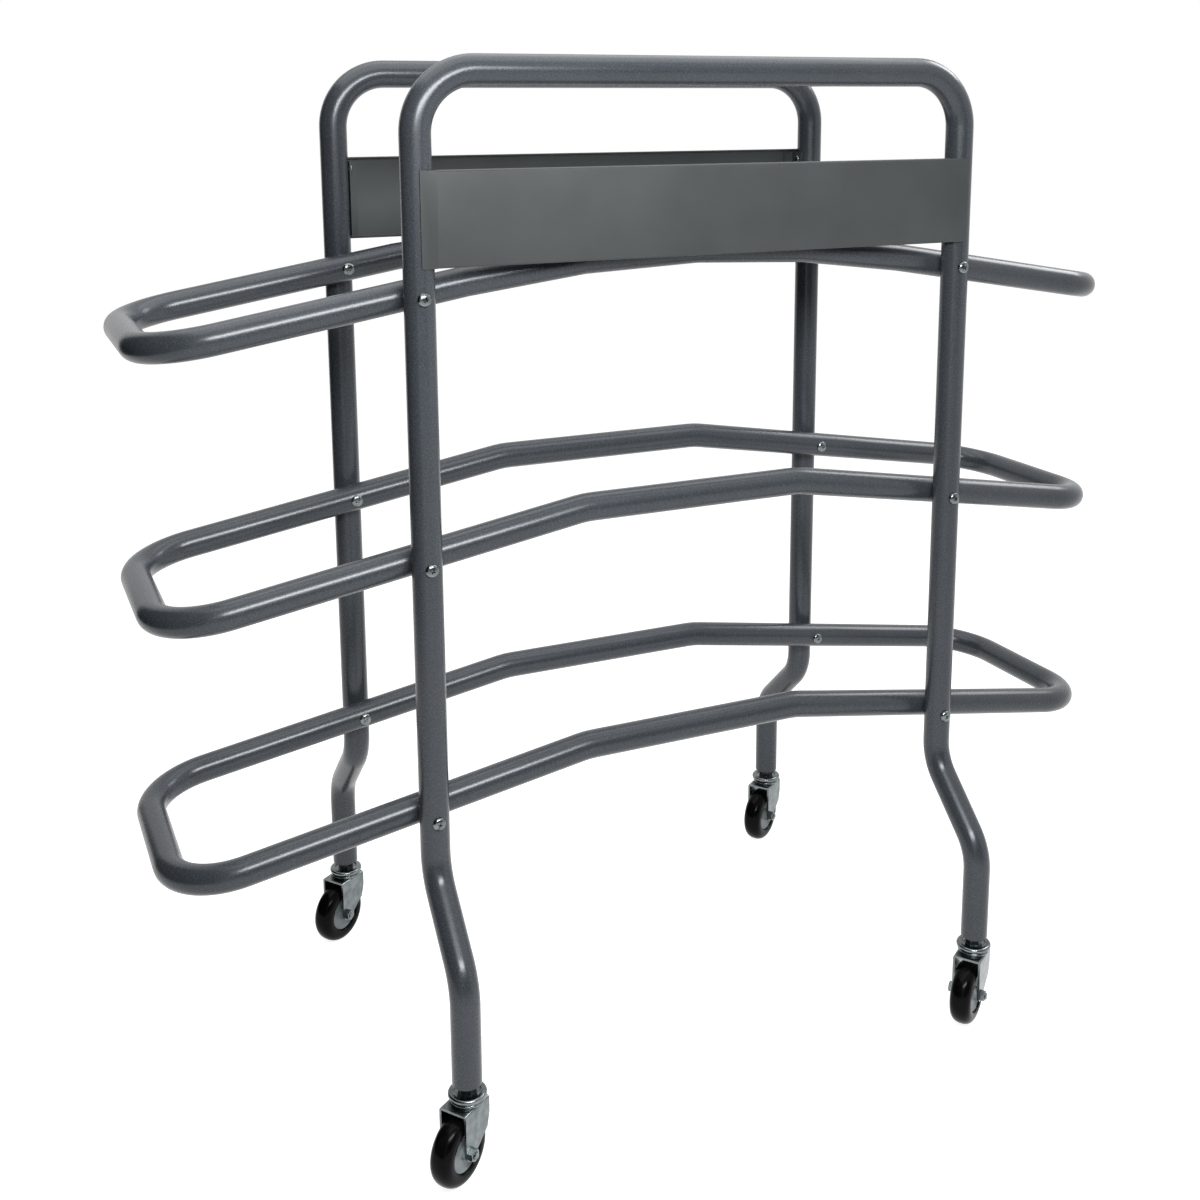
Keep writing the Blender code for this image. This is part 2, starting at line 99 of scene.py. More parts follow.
# From a tube's middle to the face of whatever lies against it.
TUBE_FACE = TUBE_R + GAP
LEG_X = 325 * MM
LEG_Y = 164.5 * MM
FOOT_Y = 254 * MM
RAIL_Y = LEG_Y - 2 * TUBE_R - GAP
SLOPE = math.radians(9.55)
BEND_X = 135 * MM
LOOP_END_X = 586.5 * MM
TIERS = {"bottom": 391 * MM, "middle": 669 * MM, "top": 947 * MM}
TOP_BAR_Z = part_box("front_frame")[1][2] - TUBE_R
print("middle of the rack at y =", round(MID_Y / MM, 2), "mm")

# %% [markdown]
# ## Helpers for every piece
#
# A finished piece is one mesh object at the origin, with its place in its mesh, riding on the CAD body
# that it belongs to and standing for the CAD node that it replaces. One function does that for all of
# them, so no piece is left behind when a caster turns. Round walls are shaded smooth, and folds sharper
# than 40 degrees stay crisp.

# %% Turn a bmesh into a finished piece
def make_piece(name, bm, material, body, stands_for, sharp=40):
    mesh = bpy.data.meshes.new(name)
    bm.to_mesh(mesh)
    bm.free()
    mesh.materials.append(material)
    mesh.shade_smooth()
    mesh.set_sharp_from_angle(angle=math.radians(sharp))
    piece = bpy.data.objects.new(name, mesh)
    bpy.context.scene.collection.objects.link(piece)
    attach(piece, body)
    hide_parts(stands_for)
    return piece


# %% Copy one shape to many places
def copy_to(bm, matrix):
    """A copy of a shape, carried to its place."""
    twin = bm.copy()
    bmesh.ops.transform(twin, matrix=matrix, verts=twin.verts)
    return twin


def join_shapes(shapes):
    """Several shapes in one bmesh."""
    whole = bmesh.new()
    for shape in shapes:
        mesh = bpy.data.meshes.new("joined")
        shape.to_mesh(mesh)
        shape.free()
        whole.from_mesh(mesh)
        bpy.data.meshes.remove(mesh)
    return whole


def combine(base, other, operation):
    """The base cut by, joined to or kept within another closed shape."""
    helpers = []
    for shape in (base, other):
        mesh = bpy.data.meshes.new("helper")
        shape.to_mesh(mesh)
        shape.free()
        helper = bpy.data.objects.new("helper", mesh)
        bpy.context.scene.collection.objects.link(helper)
        helpers.append(helper)
    change = helpers[0].modifiers.new("change", "BOOLEAN")
    change.operation = operation
    change.object = helpers[1]
    change.solver = "EXACT"
    graph = bpy.context.evaluated_depsgraph_get()
    graph.update()
    result = bmesh.new()
    result.from_object(helpers[0], graph)
    for helper in helpers:
        mesh = helper.data
        bpy.data.objects.remove(helper, do_unlink=True)
        bpy.data.meshes.remove(mesh)
    return result


# %% [markdown]
# ## Turned shapes
#
# Screws, caps, hubs and tyres are all turned: a half outline goes once round an axis. The spin operator
# does that. The outline is a chain of points (radius, height). Points that lie on the axis or meet each
# other are merged, and the normals are then made to point outwards.

# %% Spin an outline round the vertical axis
def turn_shape(outline, sides, closed=False):
    bm = bmesh.new()
    verts = [bm.verts.new((radius, 0, height)) for radius, height in outline]
    edges = [bm.edges.new(pair) for pair in zip(verts, verts[1:])]
    if closed:
        edges.append(bm.edges.new((verts[-1], verts[0])))
    bmesh.ops.spin(
        bm,
        geom=verts + edges,
        cent=(0, 0, 0),
        axis=(0, 0, 1),
        angle=2 * math.pi,
        steps=sides,
        use_merge=True,
    )
    bmesh.ops.remove_doubles(bm, verts=bm.verts, dist=1e-6)
    bmesh.ops.recalc_face_normals(bm, faces=bm.faces)
    return bm


# %% [markdown]
# ## Finishes
#
# Each finish starts from what the real surface is. Colours are written as the hex values that a screen
# shows, and one function turns them to the linear values that a shader wants. One more small function
# adds a node, sets it and links it. Every pattern reads Object coordinates, which are metres on the rack
# itself.

# %% Colour and node helpers
def linear(code):
    """Linear RGBA from an sRGB hex code."""
    channels = [int(code[i : i + 2], 16) / 255 for i in (1, 3, 5)]
    return (*[c / 12.92 if c <= 0.04045 else ((c + 0.055) / 1.055) ** 2.4 for c in channels], 1)


def add_node(tree, kind, links=None, **settings):
    made = tree.nodes.new(kind)
    for name, value in settings.items():
        setattr(made, name, value)
    for socket, source in (links or {}).items():
        if isinstance(source, bpy.types.NodeSocket):
            tree.links.new(source, made.inputs[socket])
        else:
            made.inputs[socket].default_value = source
    return made


def new_finish(name):
    """An empty material with its shader, and the coordinates that its patterns read."""
    material = bpy.data.materials.new(name)
    material.use_nodes = True
    tree = material.node_tree
    shader = tree.nodes["Principled BSDF"]
    place = add_node(tree, "ShaderNodeTexCoord").outputs["Object"]
    return material, tree, shader, place


# %% [markdown]
# ### Gunmetal powder coat
#
# The tubes are powder coated: dry paint dust melted on the steel, with fine metal flakes in it. It levels
# out less than liquid paint, so the surface keeps a faint orange peel a couple of millimetres across. The
# flakes are a few hundredths of a millimetre, far too fine to show here, so they are drawn about 1.2 mm
# apart. The colour is a neutral dark grey with a trace of blue, a little metallic, and semi-gloss.

# %% Make the gunmetal powder coat
powder, tree, shader, place = new_finish("gunmetal_powder_coat")
flakes = add_node(tree, "ShaderNodeTexNoise", {"Vector": place, "Scale": 1 / (1.2 * MM), "Detail": 2.0})
shade = add_node(tree, "ShaderNodeTexNoise", {"Vector": place, "Scale": 1 / (90 * MM), "Detail": 2.0})
mixed = add_node(
    tree,
    "ShaderNodeMath",
    {0: shade.outputs["Fac"], 1: 0.2, 2: flakes.outputs["Fac"]},
    operation="MULTIPLY_ADD",
)
tones = add_node(tree, "ShaderNodeValToRGB", {"Fac": mixed.outputs["Value"]})
tones.color_ramp.elements[0].position = 0.25
tones.color_ramp.elements[0].color = linear("#292D31")
tones.color_ramp.elements[1].position = 0.95
tones.color_ramp.elements[1].color = linear("#494E54")
tree.links.new(tones.outputs["Color"], shader.inputs["Base Color"])
gloss = add_node(
    tree,
    "ShaderNodeMapRange",
    {"Value": flakes.outputs["Fac"], "To Min": 0.23, "To Max": 0.3},
)
tree.links.new(gloss.outputs["Result"], shader.inputs["Roughness"])
peel = add_node(tree, "ShaderNodeTexNoise", {"Vector": place, "Scale": 1 / (2.4 * MM), "Detail": 2.0})
bump = add_node(
    tree,
    "ShaderNodeBump",
    {"Height": peel.outputs["Fac"], "Strength": 0.25, "Distance": 0.08 * MM},
)
tree.links.new(bump.outputs["Normal"], shader.inputs["Normal"])
shader.inputs["Metallic"].default_value = 0.15
shader.inputs["Specular IOR Level"].default_value = 0.37
print(powder.name, "has", len(tree.nodes), "nodes")

# %% [markdown]
# ### Charcoal enamel on the sheet panels
#
# The panels are rolled sheet under a stoved enamel, a little flatter than the tubes' coat and without its
# flakes. A sheet takes paint more evenly than a tube, and its peel is broader, about 4 mm. A very faint
# cloudiness, a hand's width across, keeps the large flat face from looking like paper. The paint's own
# grain is drawn 1 mm apart, coarser than it is, so that it shows.

# %% Make the charcoal enamel
enamel, tree, shader, place = new_finish("charcoal_enamelled_sheet")
cloud = add_node(tree, "ShaderNodeTexNoise", {"Vector": place, "Scale": 1 / (110 * MM), "Detail": 3.0})
grain = add_node(tree, "ShaderNodeTexNoise", {"Vector": place, "Scale": 1 / (1.0 * MM), "Detail": 2.0})
mixed = add_node(
    tree,
    "ShaderNodeMath",
    {0: grain.outputs["Fac"], 1: 0.5, 2: cloud.outputs["Fac"]},
    operation="MULTIPLY_ADD",
)
tones = add_node(tree, "ShaderNodeValToRGB", {"Fac": mixed.outputs["Value"]})
tones.color_ramp.elements[0].position = 0.5
tones.color_ramp.elements[0].color = linear("#393C3C")
tones.color_ramp.elements[1].position = 1.0
tones.color_ramp.elements[1].color = linear("#444848")
tree.links.new(tones.outputs["Color"], shader.inputs["Base Color"])
gloss = add_node(tree, "ShaderNodeMapRange", {"Value": cloud.outputs["Fac"], "To Min": 0.38, "To Max": 0.5})
tree.links.new(gloss.outputs["Result"], shader.inputs["Roughness"])
peel = add_node(tree, "ShaderNodeTexNoise", {"Vector": place, "Scale": 1 / (4 * MM), "Detail": 2.0})
bump = add_node(
    tree,
    "ShaderNodeBump",
    {"Height": peel.outputs["Fac"], "Strength": 0.2, "Distance": 0.1 * MM},
)
tree.links.new(bump.outputs["Normal"], shader.inputs["Normal"])
shader.inputs["Metallic"].default_value = 0.1
shader.inputs["Specular IOR Level"].default_value = 0.25
print(enamel.name, "has", len(tree.nodes), "nodes")

# %% [markdown]
# ### Bright zinc plate
#
# Forks, caps, bolts and screws are steel with a few micrometres of zinc from a plating bath. It is a
# metal, grey and slightly blue, and it shows the mottling of the pressed steel under it: patches of a few
# millimetres that are brighter or duller. Metallic is full and the IOR stays at its default. The
# roughness wanders with fine specks, which are drawn 1.1 mm apart, several times their real size.

# %% Make the zinc plate
zinc, tree, shader, place = new_finish("bright_zinc_plate")
patches = add_node(tree, "ShaderNodeTexNoise", {"Vector": place, "Scale": 1 / (9 * MM), "Detail": 5.0})
specks = add_node(tree, "ShaderNodeTexNoise", {"Vector": place, "Scale": 1 / (1.1 * MM), "Detail": 3.0})
tones = add_node(tree, "ShaderNodeValToRGB", {"Fac": patches.outputs["Fac"]})
tones.color_ramp.elements[0].position = 0.35
tones.color_ramp.elements[0].color = linear("#646A6B")
tones.color_ramp.elements[1].position = 0.68
tones.color_ramp.elements[1].color = linear("#7C8283")
tree.links.new(tones.outputs["Color"], shader.inputs["Base Color"])
gloss = add_node(
    tree,
    "ShaderNodeMapRange",
    {"Value": specks.outputs["Fac"], "To Min": 0.12, "To Max": 0.34},
)
tree.links.new(gloss.outputs["Result"], shader.inputs["Roughness"])
bump = add_node(
    tree,
    "ShaderNodeBump",
    {"Height": specks.outputs["Fac"], "Strength": 0.15, "Distance": 0.05 * MM},
)
tree.links.new(bump.outputs["Normal"], shader.inputs["Normal"])
shader.inputs["Metallic"].default_value = 1.0
print(zinc.name, "has", len(tree.nodes), "nodes")

# %% [markdown]
# ### Lock nuts in painted shade
#
# The lock nuts over the caps are coloured nearly black. This is painted shade: it stands for the shadow
# in the narrow gap between the leg's end and the cap. The colour wanders at random in patches a few
# millimetres across, matt where it is darkest and glossier where it is lighter.

# %% Make the lock nuts' painted shade
nut_painted_shade, tree, shader, place = new_finish("lock_nut_painted_shade")
painted_shade_patches = add_node(tree, "ShaderNodeTexNoise", {"Vector": place, "Scale": 1 / (3 * MM), "Detail": 3.0})
tones = add_node(tree, "ShaderNodeValToRGB", {"Fac": painted_shade_patches.outputs["Fac"]})
tones.color_ramp.elements[0].position = 0.4
tones.color_ramp.elements[0].color = linear("#26282A")
tones.color_ramp.elements[1].position = 0.8
tones.color_ramp.elements[1].color = linear("#55595B")
tree.links.new(tones.outputs["Color"], shader.inputs["Base Color"])
gloss = add_node(
    tree,
    "ShaderNodeMapRange",
    {"Value": painted_shade_patches.outputs["Fac"], "To Min": 0.5, "To Max": 0.25},
)
tree.links.new(gloss.outputs["Result"], shader.inputs["Roughness"])
shader.inputs["Metallic"].default_value = 0.8
print(nut_painted_shade.name, "has", len(tree.nodes), "nodes")

# %% [markdown]
# ### Cast polyurethane, moulded hub and nylon
#
# The tyres are black polyurethane cast in a polished mould, so they are glossy with a soft bloom of dust
# that changes the gloss in patches about 10 mm wide. Their specular level is far under the usual 0.5,
# because they mirror a whiter room here than in the photo. The hubs are grey polypropylene with a fine
# moulded grain. The plugs in the legs' ends are plain black nylon. Both grains are finer than a pixel and
# are drawn about 1 mm apart.

# %% Make the three plastics
tread, tree, shader, place = new_finish("black_polyurethane")
dust = add_node(tree, "ShaderNodeTexNoise", {"Vector": place, "Scale": 1 / (10 * MM), "Detail": 4.0})
tones = add_node(tree, "ShaderNodeValToRGB", {"Fac": dust.outputs["Fac"]})
tones.color_ramp.elements[0].position = 0.4
tones.color_ramp.elements[0].color = linear("#060607")
tones.color_ramp.elements[1].position = 0.75
tones.color_ramp.elements[1].color = linear("#0D0D0E")
tree.links.new(tones.outputs["Color"], shader.inputs["Base Color"])
gloss = add_node(tree, "ShaderNodeMapRange", {"Value": dust.outputs["Fac"], "To Min": 0.08, "To Max": 0.26})
tree.links.new(gloss.outputs["Result"], shader.inputs["Roughness"])
shader.inputs["Specular IOR Level"].default_value = 0.06

hub_grey, tree, shader, place = new_finish("grey_polypropylene")
grain = add_node(tree, "ShaderNodeTexNoise", {"Vector": place, "Scale": 1 / (0.8 * MM), "Detail": 2.0})
tones = add_node(tree, "ShaderNodeValToRGB", {"Fac": grain.outputs["Fac"]})
tones.color_ramp.elements[0].position = 0.3
tones.color_ramp.elements[0].color = linear("#757D7F")
tones.color_ramp.elements[1].position = 0.7
tones.color_ramp.elements[1].color = linear("#878F91")
tree.links.new(tones.outputs["Color"], shader.inputs["Base Color"])
bump = add_node(
    tree,
    "ShaderNodeBump",
    {"Height": grain.outputs["Fac"], "Strength": 0.2, "Distance": 0.05 * MM},
)
tree.links.new(bump.outputs["Normal"], shader.inputs["Normal"])
shader.inputs["Roughness"].default_value = 0.42

nylon, tree, shader, place = new_finish("black_nylon")
grain = add_node(tree, "ShaderNodeTexNoise", {"Vector": place, "Scale": 1 / (1.5 * MM), "Detail": 2.0})
gloss = add_node(
    tree,
    "ShaderNodeMapRange",
    {"Value": grain.outputs["Fac"], "To Min": 0.45, "To Max": 0.62},
)
tree.links.new(gloss.outputs["Result"], shader.inputs["Roughness"])
tones = add_node(tree, "ShaderNodeValToRGB", {"Fac": grain.outputs["Fac"]})
tones.color_ramp.elements[0].color = linear("#18181A")
tones.color_ramp.elements[1].color = linear("#242426")
tree.links.new(tones.outputs["Color"], shader.inputs["Base Color"])
print("plastics:", tread.name, hub_grey.name, nylon.name)

# %% [markdown]
# ## Bent tube
#
# A tube bender feeds the tube straight, bends it round a former, and feeds it on. The mesh is made the
# same way: a ring of points is extruded along each straight and spun round each bend's centre. A sweep
# along a curve object would also do, but the spin keeps every bend a true arc with evenly spaced rings,
# and the ring never twists, so a closed loop meets its own start point for point.

# %% Feed a ring along a bent line
RING_SIDES = 40
BEND_STEP = math.radians(5)


def bend_tube(corners, radii, closed=False):
    """The tube's outer wall along a line of corners, each rounded to its radius, with its two end rings."""
    bm = bmesh.new()
    count = len(corners)
    start = (corners[0] + corners[-1]) / 2 if closed else corners[0]
    heading = (corners[0] - start if closed else corners[1] - start).normalized()
    across = Vector((0, 1, 0)) if abs(heading.y) < 0.9 else Vector((0, 0, 1))
    side = across.cross(heading).normalized()
    ring_frame = Matrix((side, heading.cross(side), heading)).transposed().to_4x4()
    ring_frame.translation = start
    bmesh.ops.create_circle(bm, segments=RING_SIDES, radius=TUBE_R, matrix=ring_frame)
    edges = first = list(bm.edges)
    at = start
    order = range(count) if closed else range(1, count - 1)
    for i in order:
        here = corners[i]
        ahead = (corners[(i + 1) % count] - here).normalized()
        turn = heading.angle(ahead)
        reach = radii[i] * math.tan(turn / 2)
        edges = push(bm, edges, here - heading * reach - at)
        centre = here + (ahead - heading).normalized() * radii[i] / math.cos(turn / 2)
        bent = bmesh.ops.spin(
            bm,
            geom=edges,
            cent=centre,
            axis=heading.cross(ahead).normalized(),
            angle=turn,
            steps=max(2, math.ceil(turn / BEND_STEP)),
        )
        edges = [item for item in bent["geom_last"] if isinstance(item, bmesh.types.BMEdge)]
        heading = ahead
        at = here + heading * reach
    edges = push(bm, edges, (start if closed else corners[-1]) - at)
    return bm, first, edges


def push(bm, edges, travel):
    """Extrudes a ring of edges straight ahead and returns the new ring."""
    grown = bmesh.ops.extrude_edge_only(bm, edges=edges)["geom"]
    verts = [item for item in grown if isinstance(item, bmesh.types.BMVert)]
    bmesh.ops.translate(bm, verts=verts, vec=travel)
    grown = [item for item in grown if isinstance(item, bmesh.types.BMEdge)]
    return [edge for edge in grown if len(edge.link_faces) == 1]


# %% [markdown]
# ## The two frames
#
# Each frame is one tube: up a leg, over the top and down the other leg. Below the bottom tier the legs
# step outward through two bends of about 47 degrees, which widens the stance under the casters. The
# tube's cut ends look down at the casters, so they get a true wall: the end ring is pulled in by the
# wall's thickness, run back up inside and closed there, above the plug.

# %% Bend the frames
LEG_END_Z = 104 * MM
STEP_LOW_Z = 214.5 * MM
STEP_HIGH_Z = 298 * MM
STEP_BEND_R = 57 * MM
TOP_BEND_R = 62 * MM
OPEN_BORE = 45 * MM


def close_end(bm, edges, centre, inward):
    """Turns a cut end into a wall, a short bore and its far end."""
    for travel, scale in ((0, 1 - TUBE_WALL / TUBE_R), (OPEN_BORE, 1)):
        grown = bmesh.ops.extrude_edge_only(bm, edges=edges)["geom"]
        verts = [item for item in grown if isinstance(item, bmesh.types.BMVert)]
        bmesh.ops.scale(bm, verts=verts, vec=(scale,) * 3, space=Matrix.Translation(-centre))
        bmesh.ops.translate(bm, verts=verts, vec=inward * travel)
        grown = [item for item in grown if isinstance(item, bmesh.types.BMEdge)]
        edges = [edge for edge in grown if len(edge.link_faces) == 1]
    bmesh.ops.holes_fill(bm, edges=edges)


for name, outward in (("front", -1), ("rear", 1)):
    leg_y = MID_Y + outward * LEG_Y
    foot_y = MID_Y + outward * FOOT_Y
    half = [
        Vector((LEG_X, foot_y, LEG_END_Z)),
        Vector((LEG_X, foot_y, STEP_LOW_Z)),
        Vector((LEG_X, leg_y, STEP_HIGH_Z)),
        Vector((LEG_X, leg_y, TOP_BAR_Z)),
    ]
    line = half + [Vector((-p.x, p.y, p.z)) for p in reversed(half)]
    bend_radii = [0, STEP_BEND_R, STEP_BEND_R, TOP_BEND_R]
    tube, first_ring, last_ring = bend_tube(line, bend_radii + bend_radii[::-1])
    close_end(tube, first_ring, line[0], Vector((0, 0, 1)))
    close_end(tube, last_ring, line[-1], Vector((0, 0, 1)))
    bmesh.ops.recalc_face_normals(tube, faces=tube.faces)
    piece = make_piece(f"{name}_frame_tube", tube, powder, "rack", f"{name}_frame")
    print(piece.name, len(piece.data.polygons), "faces")

# %% [markdown]
# ## The three rail loops
#
# A loop is one closed tube. From above it is a long rectangle with rounded ends. From the side it is an
# arch: level for the middle stretch, then sloping about nine and a half degrees down to each end. The two
# lower loops change slope in a short bend. The top one takes the same turn in one long, easy arc. The
# line starts and ends in the middle of the loop's left end, and its last ring is merged with its first.

# %% Bend the rail loops
LOOP_CORNER_R = 70 * MM
SHORT_BEND_R = 109 * MM
LONG_ARC_R = 1590 * MM
for tier, level in TIERS.items():
    low = level - (LOOP_END_X - BEND_X) * math.tan(SLOPE)
    rail = [
        Vector((-LOOP_END_X, MID_Y - RAIL_Y, low)),
        Vector((-BEND_X, MID_Y - RAIL_Y, level)),
        Vector((BEND_X, MID_Y - RAIL_Y, level)),
        Vector((LOOP_END_X, MID_Y - RAIL_Y, low)),
    ]
    line = rail + [Vector((p.x, 2 * MID_Y - p.y, p.z)) for p in reversed(rail)]
    arch = LONG_ARC_R if tier == "top" else SHORT_BEND_R
    tube = bend_tube(line, [LOOP_CORNER_R, arch, arch, LOOP_CORNER_R] * 2, closed=True)[0]
    bmesh.ops.remove_doubles(tube, verts=tube.verts, dist=1e-5)
    bmesh.ops.recalc_face_normals(tube, faces=tube.faces)
    open_edges = sum(len(edge.link_faces) != 2 for edge in tube.edges)
    piece = make_piece(f"{tier}_rail_tube", tube, powder, "rack", f"{tier}_rail_loop")
    print(piece.name, len(piece.data.polygons), "faces,", open_edges, "open edges")

# %% [markdown]
# ## Rail screws and sleeve nuts
#
# At each of the twelve crossings a pan-head screw goes through leg and rail into a sleeve nut, whose flat
# domed head bears on the rail's inner side. Both have a cross recess for the driver. The head is turned
# from its outline and the recess is cut with a Boolean: two tapered blades, crossed. Only the heads show,
# and the shank and the sleeve still run their whole length, so that nothing is missing if the rack is
# taken apart.

# %% Cut a cross recess into a turned head
def recess(head, crown, width, span, depth):
    """Cuts a driver's cross into the top of a head whose crown is at that height."""
    blades = []
    for quarter in (0, 1):
        blade = bmesh.new()
        bmesh.ops.create_cube(blade, matrix=Matrix.Diagonal((span, width, 2 * depth, 1)))
        floor = [vert for vert in blade.verts if vert.co.z < 0]
        bmesh.ops.scale(blade, verts=floor, vec=(0.45, 0.7, 1))
        turned = Matrix.Rotation(quarter * math.pi / 2, 4, "Z")
        blades.append(copy_to(blade, Matrix.Translation((0, 0, crown)) @ turned))
        blade.free()
    cross = combine(blades[0], blades[1], "UNION")
    return combine(head, cross, "DIFFERENCE")


def domed(radius, height, shank, rows=7):
    """Outline of a domed head: crown, quarter round, rim, underside."""
    outline = [(0, height)]
    for row in range(1, rows):
        angle = math.pi / 2 * (1 - row / rows)
        outline.append((radius * math.cos(angle) ** 0.8, height * (0.25 + 0.75 * math.sin(angle))))
    return outline + [(radius, height * 0.2), (radius * 0.985, 0), (shank, 0)]


# %% Turn a rail screw and a sleeve nut
HEAD_R = 7 * MM
SCREW_CROWN = 4.2 * MM
SLEEVE_CROWN = 3.6 * MM
SHANK_R = 3 * MM
SLEEVE_R = 4.6 * MM
SLEEVE_BORE_R = 3.5 * MM
SLEEVE_END = -20 * MM
SLEEVE_FLOOR = -1.7 * MM
CROSS_WIDTH = 1.5 * MM
CROSS_SPAN = 7.4 * MM
# The shank stops 6 mm short of the sleeve nut's head.
SCREW_END = 6 * MM - 4 * TUBE_R - 3 * GAP
HEAD_SIDES = 32

tip = [(SHANK_R, SCREW_END + 1.5 * MM), (1.8 * MM, SCREW_END), (0, SCREW_END)]
screw = turn_shape(domed(HEAD_R, SCREW_CROWN, SHANK_R) + tip, HEAD_SIDES)
screw = recess(screw, SCREW_CROWN, CROSS_WIDTH, CROSS_SPAN, depth=2.6 * MM)
socket = [(SLEEVE_R, SLEEVE_END), (SLEEVE_BORE_R, SLEEVE_END)]
socket += [(SLEEVE_BORE_R, SLEEVE_FLOOR), (0, SLEEVE_FLOOR)]
sleeve = turn_shape(domed(HEAD_R, SLEEVE_CROWN, SLEEVE_R) + socket, HEAD_SIDES)
sleeve = recess(sleeve, SLEEVE_CROWN, CROSS_WIDTH, CROSS_SPAN, depth=1.5 * MM)
print("screw", len(screw.faces), "faces, sleeve nut", len(sleeve.faces), "faces")

# %% Set the twelve screws and their nuts
for tier, level in TIERS.items():
    height = level - (LEG_X - BEND_X) * math.tan(SLOPE)
    for corner, (side, outward) in CORNERS.items():
        at = Vector((side * LEG_X, MID_Y + outward * (LEG_Y + TUBE_FACE), height))
        place = Matrix.Translation(at) @ Matrix.Rotation(-outward * math.pi / 2, 4, "X")
        tightened = math.radians(17 + 31 * side + 11 * outward)
        turned = place @ Matrix.Rotation(tightened, 4, "Z")
        node = f"{tier}_screw_{corner}"
        make_piece(f"pan_head_{node}", copy_to(screw, turned), zinc, "rack", node)
        at = Vector((side * LEG_X, MID_Y + outward * (RAIL_Y - TUBE_FACE), height))
        place = Matrix.Translation(at) @ Matrix.Rotation(outward * math.pi / 2, 4, "X")
        tightened = math.radians(40 + 23 * side + 19 * outward)
        turned = place @ Matrix.Rotation(tightened, 4, "Z")
        node = f"{tier}_sleeve_nut_{corner}"
        make_piece(f"domed_{node}", copy_to(sleeve, turned), zinc, "rack", node)
screw.free()
sleeve.free()
print("screws and sleeve nuts set")

# %% [markdown]
# ## Sheet panels
#
# Each panel is 1.5 mm sheet with its top and bottom edges folded inward to stiffen it. It starts as one
# flat face. Between the legs its long edges are extruded inward for the lips, the two fold lines are
# bevelled into small bend radii, and the whole is then given its thickness. Behind each end an angle is
# welded on, which reaches in beside the leg and takes one small screw. The angles are folded up the same
# way.

# %% Fold sheet metal
PANEL_T = 1.5 * MM
FACE_Y = LEG_Y + TUBE_FACE + PANEL_T
FLANGE_X = LEG_X - TUBE_FACE
panel_bottom, panel_top = (corner[2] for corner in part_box("front_panel"))
print("panels stand from", round(panel_bottom / MM, 1), "to", round(panel_top / MM, 1), "mm")


def flat_sheet(half_width, half_height, centre, facing):
    """One flat face, upright, with its front towards -Y or +X."""
    bm = bmesh.new()
    turn = Matrix.Rotation(math.pi / 2, 4, "X")
    if facing == "X":
        turn = Matrix.Rotation(math.pi / 2, 4, "Z") @ turn
    size = Matrix.Diagonal((half_width, half_height, 1, 1))
    place = Matrix.Translation(centre) @ turn @ size
    bmesh.ops.create_grid(bm, x_segments=1, y_segments=1, size=1, matrix=place)
    return bm


def edges_at(bm, axis, value):
    """The edges whose two ends both lie at that value of an axis."""
    return [edge for edge in bm.edges if all(abs(vert.co[axis] - value) < 1e-6 for vert in edge.verts)]


def thicken(bm, folds, radius):
    """Rounds the fold lines and gives the sheet its thickness, towards its back."""
    bmesh.ops.bevel(
        bm,
        geom=folds,
        offset=radius,
        segments=5,
        profile=0.5,
        affect="EDGES",
        material=-1,
        clamp_overlap=True,
    )
    bmesh.ops.recalc_face_normals(bm, faces=bm.faces)
    bmesh.ops.solidify(bm, geom=bm.faces, thickness=PANEL_T)
    bmesh.ops.recalc_face_normals(bm, faces=bm.faces)
    return bm


# %% Fold the web with its lips
OVERHANG = 1.5 * MM
LIP = 10.5 * MM
LIP_FOLD_R = 2.2 * MM
half_height = (panel_top - panel_bottom) / 2
web = flat_sheet(LEG_X + OVERHANG, half_height, (0, 0, panel_bottom + half_height), "Y")
for at in (-FLANGE_X, FLANGE_X):
    bmesh.ops.bisect_plane(
        web,
        geom=list(web.verts) + list(web.edges) + list(web.faces),
        plane_co=(at, 0, 0),
        plane_no=(1, 0, 0),
    )
folds = []
for height in (panel_bottom, panel_top):
    level_edges = edges_at(web, 2, height)
    middle = [edge for edge in level_edges if abs(edge.verts[0].co.x + edge.verts[1].co.x) < 1e-6]
    folds += middle
    push(web, middle, Vector((0, LIP, 0)))
web = thicken(web, folds, LIP_FOLD_R)
print("web:", len(web.faces), "faces, depth", round(max(vert.co.y for vert in web.verts) / MM, 2), "mm")

# %% Fold the end angles and mount both panels
ANGLE_HALF = 12 * MM
ANGLE_Y = 13.6 * MM
ANGLE_INSET = 4 * MM
ANGLE_FOOT = 14 * MM
ANGLE_FOLD_R = 2 * MM
angles = []
for side in (-1, 1):
    middle = (side * FLANGE_X, ANGLE_Y, panel_bottom + half_height)
    angle = flat_sheet(ANGLE_HALF, half_height - ANGLE_INSET, middle, "X")
    near = edges_at(angle, 1, min(vert.co.y for vert in angle.verts))
    push(angle, near, Vector((-side * ANGLE_FOOT, 0, 0)))
    angles.append(thicken(angle, near, ANGLE_FOLD_R))
whole_panel = join_shapes([web] + angles)
front = Matrix.Translation((0, MID_Y - FACE_Y, 0))
rear = Matrix.Translation((0, MID_Y + FACE_Y, 0)) @ Matrix.Rotation(math.pi, 4, "Z")
for name, place in (("front", front), ("rear", rear)):
    made = copy_to(whole_panel, place)
    node = f"{name}_panel"
    piece = make_piece(f"{name}_sheet_panel", made, enamel, "rack", node, sharp=50)
    depths = [vert.co.y / MM for vert in piece.data.vertices]
    print(piece.name, "from y", round(min(depths), 1), "to", round(max(depths), 1), "mm")
whole_panel.free()

